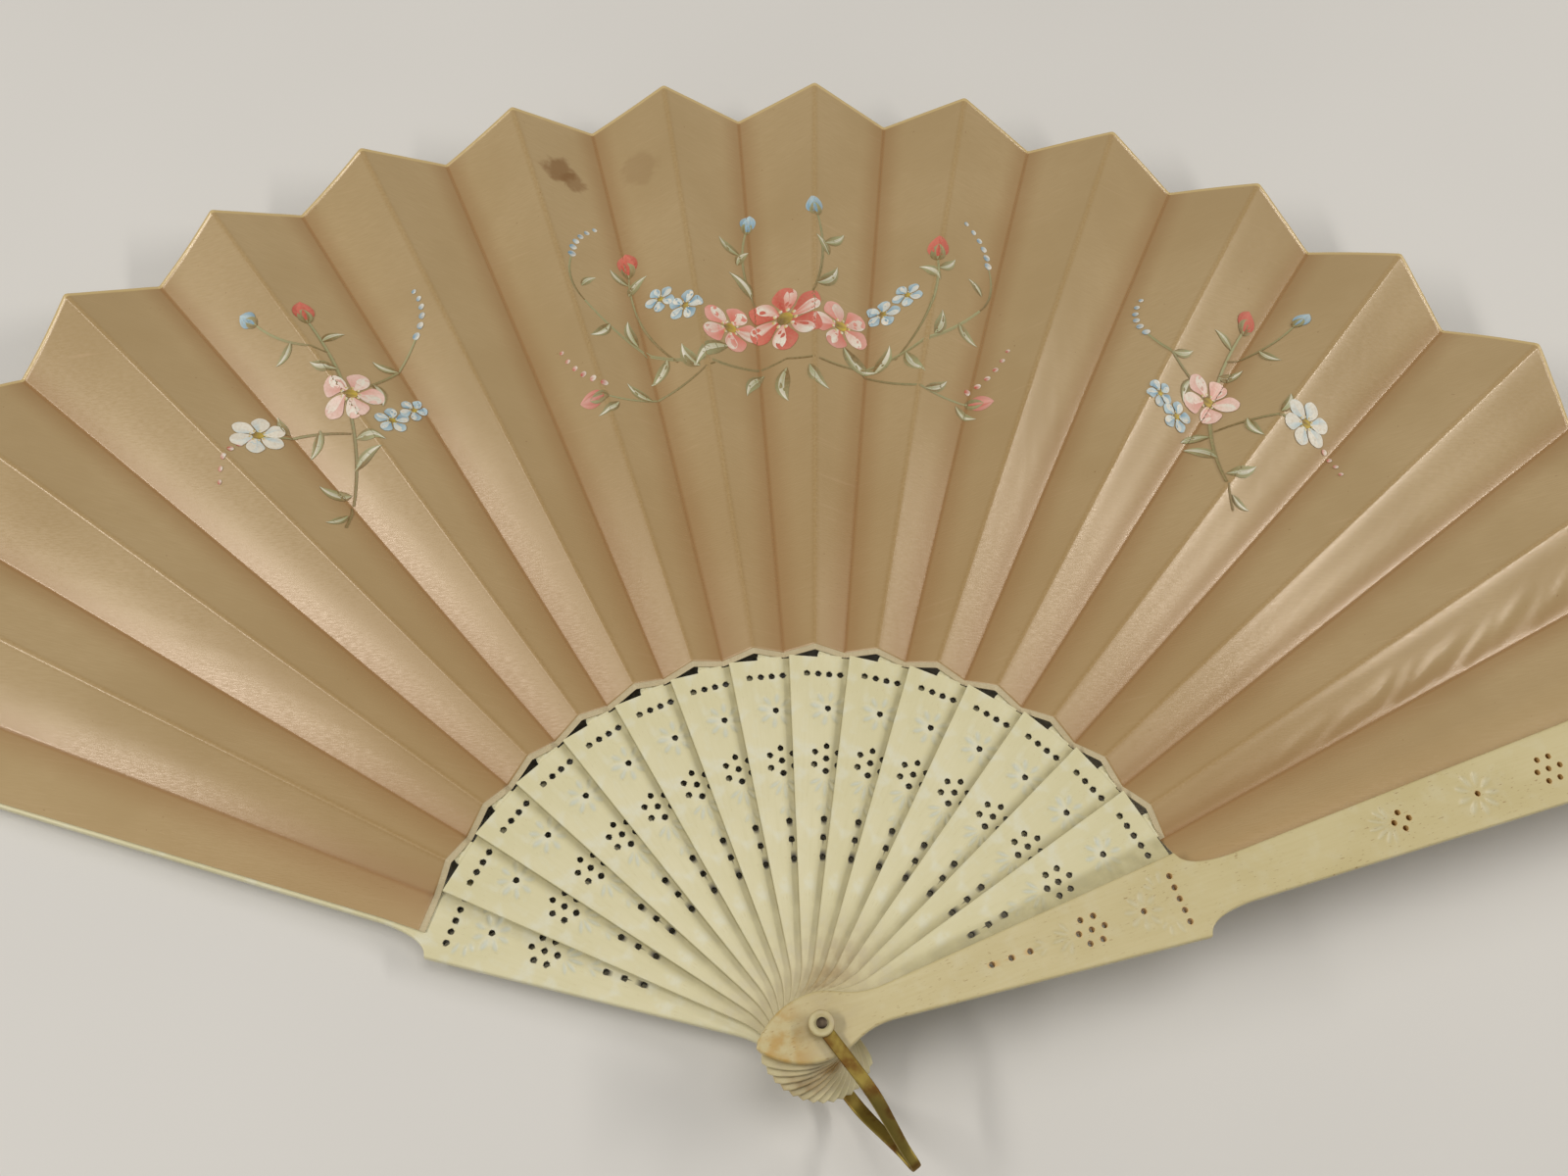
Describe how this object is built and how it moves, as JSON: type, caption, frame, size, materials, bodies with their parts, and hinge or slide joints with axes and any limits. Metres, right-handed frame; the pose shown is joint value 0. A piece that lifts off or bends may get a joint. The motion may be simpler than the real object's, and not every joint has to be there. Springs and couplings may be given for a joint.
{
  "type": "folding fan",
  "caption": "Open folding hand fan with pierced bone sticks turning on a rivet, a pleated satin leaf, two guards and a brass hanging loop.",
  "frame": {"origin": "centre of the rivet's rear head, on its flat outer face", "axes": "+Z along the rivet towards the decorated front of the leaf, +Y along the middle of the open fan from the rivet to the rim, +X towards the front guard"},
  "size_m": [0.5401, 0.3097, 0.0349],
  "materials": {
    "stick_bone": "polished bone, cream",
    "guard_bone": "polished bone, yellowed",
    "satin": "champagne satin with hand-painted sprays",
    "brass": "dull aged brass",
    "pin": "dark aged metal"
  },
  "bodies": {
    "rear_guard": {"rear_guard": "guard_bone", "leaf_panel_00": "satin", "rivet_pin": "pin", "rear_washer": "stick_bone", "front_washer": "stick_bone"},
    "front_guard": {"front_guard": "guard_bone", "leaf_panel_15": "satin"},
    "stick_01": {"stick_01": "stick_bone", "leaf_panel_01": "satin"},
    "stick_02": {"stick_02": "stick_bone", "leaf_panel_02": "satin"},
    "stick_03": {"stick_03": "stick_bone", "leaf_panel_03": "satin"},
    "stick_04": {"stick_04": "stick_bone", "leaf_panel_04": "satin"},
    "stick_05": {"stick_05": "stick_bone", "leaf_panel_05": "satin"},
    "stick_06": {"stick_06": "stick_bone", "leaf_panel_06": "satin"},
    "stick_07": {"stick_07": "stick_bone", "leaf_panel_07": "satin"},
    "stick_08": {"stick_08": "stick_bone", "leaf_panel_08": "satin"},
    "stick_09": {"stick_09": "stick_bone", "leaf_panel_09": "satin"},
    "stick_10": {"stick_10": "stick_bone", "leaf_panel_10": "satin"},
    "stick_11": {"stick_11": "stick_bone", "leaf_panel_11": "satin"},
    "stick_12": {"stick_12": "stick_bone", "leaf_panel_12": "satin"},
    "stick_13": {"stick_13": "stick_bone", "leaf_panel_13": "satin"},
    "stick_14": {"stick_14": "stick_bone", "leaf_panel_14": "satin"},
    "pleat_00": {"leaf_pleat_00": "satin"},
    "pleat_01": {"leaf_pleat_01": "satin"},
    "pleat_02": {"leaf_pleat_02": "satin"},
    "pleat_03": {"leaf_pleat_03": "satin"},
    "pleat_04": {"leaf_pleat_04": "satin"},
    "pleat_05": {"leaf_pleat_05": "satin"},
    "pleat_06": {"leaf_pleat_06": "satin"},
    "pleat_07": {"leaf_pleat_07": "satin"},
    "pleat_08": {"leaf_pleat_08": "satin"},
    "pleat_09": {"leaf_pleat_09": "satin"},
    "pleat_10": {"leaf_pleat_10": "satin"},
    "pleat_11": {"leaf_pleat_11": "satin"},
    "pleat_12": {"leaf_pleat_12": "satin"},
    "pleat_13": {"leaf_pleat_13": "satin"},
    "pleat_14": {"leaf_pleat_14": "satin"},
    "loop": {"hanging_loop": "brass"}
  },
  "joints": [
    {"name": "fan_fold", "type": "hinge", "parent": "rear_guard", "child": "front_guard", "pos_m": [0, 0, 0.02345], "axis": [0, 0, 1], "range_deg": [0, 141.45]},
    {"name": "stick_01_turn", "type": "hinge", "parent": "rear_guard", "child": "stick_01", "pos_m": [0, 0, 0.00665], "axis": [0, 0, 1], "range_deg": [0, 9.85]},
    {"name": "stick_02_turn", "type": "hinge", "parent": "rear_guard", "child": "stick_02", "pos_m": [0, 0, 0.00785], "axis": [0, 0, 1], "range_deg": [0, 19.2]},
    {"name": "stick_03_turn", "type": "hinge", "parent": "rear_guard", "child": "stick_03", "pos_m": [0, 0, 0.00905], "axis": [0, 0, 1], "range_deg": [0, 28.55]},
    {"name": "stick_04_turn", "type": "hinge", "parent": "rear_guard", "child": "stick_04", "pos_m": [0, 0, 0.01025], "axis": [0, 0, 1], "range_deg": [0, 37.9]},
    {"name": "stick_05_turn", "type": "hinge", "parent": "rear_guard", "child": "stick_05", "pos_m": [0, 0, 0.01145], "axis": [0, 0, 1], "range_deg": [0, 47.25]},
    {"name": "stick_06_turn", "type": "hinge", "parent": "rear_guard", "child": "stick_06", "pos_m": [0, 0, 0.01265], "axis": [0, 0, 1], "range_deg": [0, 56.6]},
    {"name": "stick_07_turn", "type": "hinge", "parent": "rear_guard", "child": "stick_07", "pos_m": [0, 0, 0.01385], "axis": [0, 0, 1], "range_deg": [0, 65.95]},
    {"name": "stick_08_turn", "type": "hinge", "parent": "rear_guard", "child": "stick_08", "pos_m": [0, 0, 0.01505], "axis": [0, 0, 1], "range_deg": [0, 75.3]},
    {"name": "stick_09_turn", "type": "hinge", "parent": "rear_guard", "child": "stick_09", "pos_m": [0, 0, 0.01625], "axis": [0, 0, 1], "range_deg": [0, 84.65]},
    {"name": "stick_10_turn", "type": "hinge", "parent": "rear_guard", "child": "stick_10", "pos_m": [0, 0, 0.01745], "axis": [0, 0, 1], "range_deg": [0, 94]},
    {"name": "stick_11_turn", "type": "hinge", "parent": "rear_guard", "child": "stick_11", "pos_m": [0, 0, 0.01865], "axis": [0, 0, 1], "range_deg": [0, 103.35]},
    {"name": "stick_12_turn", "type": "hinge", "parent": "rear_guard", "child": "stick_12", "pos_m": [0, 0, 0.01985], "axis": [0, 0, 1], "range_deg": [0, 112.7]},
    {"name": "stick_13_turn", "type": "hinge", "parent": "rear_guard", "child": "stick_13", "pos_m": [0, 0, 0.02105], "axis": [0, 0, 1], "range_deg": [0, 122.05]},
    {"name": "stick_14_turn", "type": "hinge", "parent": "rear_guard", "child": "stick_14", "pos_m": [0, 0, 0.02225], "axis": [0, 0, 1], "range_deg": [0, 131.4]},
    {"name": "pleat_00_crease", "type": "hinge", "parent": "rear_guard", "child": "pleat_00", "pos_m": [0, 0, 0.00605], "axis": [0.9256, -0.378, 0.0221], "range_deg": [0, 123.56], "deforming": ["leaf_pleat_00"]},
    {"name": "pleat_01_crease", "type": "hinge", "parent": "stick_01", "child": "pleat_01", "pos_m": [0, 0, 0.00725], "axis": [0.8519, -0.5233, 0.0221], "range_deg": [0, 123.56], "deforming": ["leaf_pleat_01"]},
    {"name": "pleat_02_crease", "type": "hinge", "parent": "stick_02", "child": "pleat_02", "pos_m": [0, 0, 0.00845], "axis": [0.7555, -0.6547, 0.0221], "range_deg": [0, 123.56], "deforming": ["leaf_pleat_02"]},
    {"name": "pleat_03_crease", "type": "hinge", "parent": "stick_03", "child": "pleat_03", "pos_m": [0, 0, 0.00965], "axis": [0.6391, -0.7688, 0.0221], "range_deg": [0, 123.56], "deforming": ["leaf_pleat_03"]},
    {"name": "pleat_04_crease", "type": "hinge", "parent": "stick_04", "child": "pleat_04", "pos_m": [0, 0, 0.01085], "axis": [0.5057, -0.8624, 0.0221], "range_deg": [0, 123.56], "deforming": ["leaf_pleat_04"]},
    {"name": "pleat_05_crease", "type": "hinge", "parent": "stick_05", "child": "pleat_05", "pos_m": [0, 0, 0.01205], "axis": [0.3589, -0.9331, 0.0221], "range_deg": [0, 123.56], "deforming": ["leaf_pleat_05"]},
    {"name": "pleat_06_crease", "type": "hinge", "parent": "stick_06", "child": "pleat_06", "pos_m": [0, 0, 0.01325], "axis": [0.2025, -0.979, 0.0221], "range_deg": [0, 123.56], "deforming": ["leaf_pleat_06"]},
    {"name": "pleat_07_crease", "type": "hinge", "parent": "stick_07", "child": "pleat_07", "pos_m": [0, 0, 0.01445], "axis": [0.0408, -0.9989, 0.0221], "range_deg": [0, 123.56], "deforming": ["leaf_pleat_07"]},
    {"name": "pleat_08_crease", "type": "hinge", "parent": "stick_08", "child": "pleat_08", "pos_m": [0, 0, 0.01565], "axis": [-0.1221, -0.9923, 0.0221], "range_deg": [0, 123.56], "deforming": ["leaf_pleat_08"]},
    {"name": "pleat_09_crease", "type": "hinge", "parent": "stick_09", "child": "pleat_09", "pos_m": [0, 0, 0.01685], "axis": [-0.2816, -0.9593, 0.0221], "range_deg": [0, 123.56], "deforming": ["leaf_pleat_09"]},
    {"name": "pleat_10_crease", "type": "hinge", "parent": "stick_10", "child": "pleat_10", "pos_m": [0, 0, 0.01805], "axis": [-0.4337, -0.9008, 0.0221], "range_deg": [0, 123.56], "deforming": ["leaf_pleat_10"]},
    {"name": "pleat_11_crease", "type": "hinge", "parent": "stick_11", "child": "pleat_11", "pos_m": [0, 0, 0.01925], "axis": [-0.5743, -0.8183, 0.0221], "range_deg": [0, 123.56], "deforming": ["leaf_pleat_11"]},
    {"name": "pleat_12_crease", "type": "hinge", "parent": "stick_12", "child": "pleat_12", "pos_m": [0, 0, 0.02045], "axis": [-0.6996, -0.7141, 0.0221], "range_deg": [0, 123.56], "deforming": ["leaf_pleat_12"]},
    {"name": "pleat_13_crease", "type": "hinge", "parent": "stick_13", "child": "pleat_13", "pos_m": [0, 0, 0.02165], "axis": [-0.8064, -0.591, 0.0221], "range_deg": [0, 123.56], "deforming": ["leaf_pleat_13"]},
    {"name": "pleat_14_crease", "type": "hinge", "parent": "stick_14", "child": "pleat_14", "pos_m": [0, 0, 0.02285], "axis": [-0.8917, -0.4521, 0.0221], "range_deg": [0, 123.56], "deforming": ["leaf_pleat_14"]},
    {"name": "loop_swing", "type": "hinge", "parent": "rear_guard", "child": "loop", "pos_m": [0, 0, 0.01445], "axis": [0, 0, 1], "range_deg": [-104, 22]}
  ],
  "couplings": [
    {"joint": "stick_01_turn", "follows": "fan_fold", "ratio": 0.066101},
    {"joint": "stick_02_turn", "follows": "fan_fold", "ratio": 0.1322},
    {"joint": "stick_03_turn", "follows": "fan_fold", "ratio": 0.1983},
    {"joint": "stick_04_turn", "follows": "fan_fold", "ratio": 0.2644},
    {"joint": "stick_05_turn", "follows": "fan_fold", "ratio": 0.33051},
    {"joint": "stick_06_turn", "follows": "fan_fold", "ratio": 0.39661},
    {"joint": "stick_07_turn", "follows": "fan_fold", "ratio": 0.46271},
    {"joint": "stick_08_turn", "follows": "fan_fold", "ratio": 0.52881},
    {"joint": "stick_09_turn", "follows": "fan_fold", "ratio": 0.59491},
    {"joint": "stick_10_turn", "follows": "fan_fold", "ratio": 0.66101},
    {"joint": "stick_11_turn", "follows": "fan_fold", "ratio": 0.72711},
    {"joint": "stick_12_turn", "follows": "fan_fold", "ratio": 0.79321},
    {"joint": "stick_13_turn", "follows": "fan_fold", "ratio": 0.85931},
    {"joint": "stick_14_turn", "follows": "fan_fold", "ratio": 0.92542},
    {"joint": "pleat_00_crease", "follows": "fan_fold", "ratio": 0.86996},
    {"joint": "pleat_01_crease", "follows": "fan_fold", "ratio": 0.86996},
    {"joint": "pleat_02_crease", "follows": "fan_fold", "ratio": 0.86996},
    {"joint": "pleat_03_crease", "follows": "fan_fold", "ratio": 0.86996},
    {"joint": "pleat_04_crease", "follows": "fan_fold", "ratio": 0.86996},
    {"joint": "pleat_05_crease", "follows": "fan_fold", "ratio": 0.86996},
    {"joint": "pleat_06_crease", "follows": "fan_fold", "ratio": 0.86996},
    {"joint": "pleat_07_crease", "follows": "fan_fold", "ratio": 0.86996},
    {"joint": "pleat_08_crease", "follows": "fan_fold", "ratio": 0.86996},
    {"joint": "pleat_09_crease", "follows": "fan_fold", "ratio": 0.86996},
    {"joint": "pleat_10_crease", "follows": "fan_fold", "ratio": 0.86996},
    {"joint": "pleat_11_crease", "follows": "fan_fold", "ratio": 0.86996},
    {"joint": "pleat_12_crease", "follows": "fan_fold", "ratio": 0.86996},
    {"joint": "pleat_13_crease", "follows": "fan_fold", "ratio": 0.86996},
    {"joint": "pleat_14_crease", "follows": "fan_fold", "ratio": 0.86996}
  ]
}
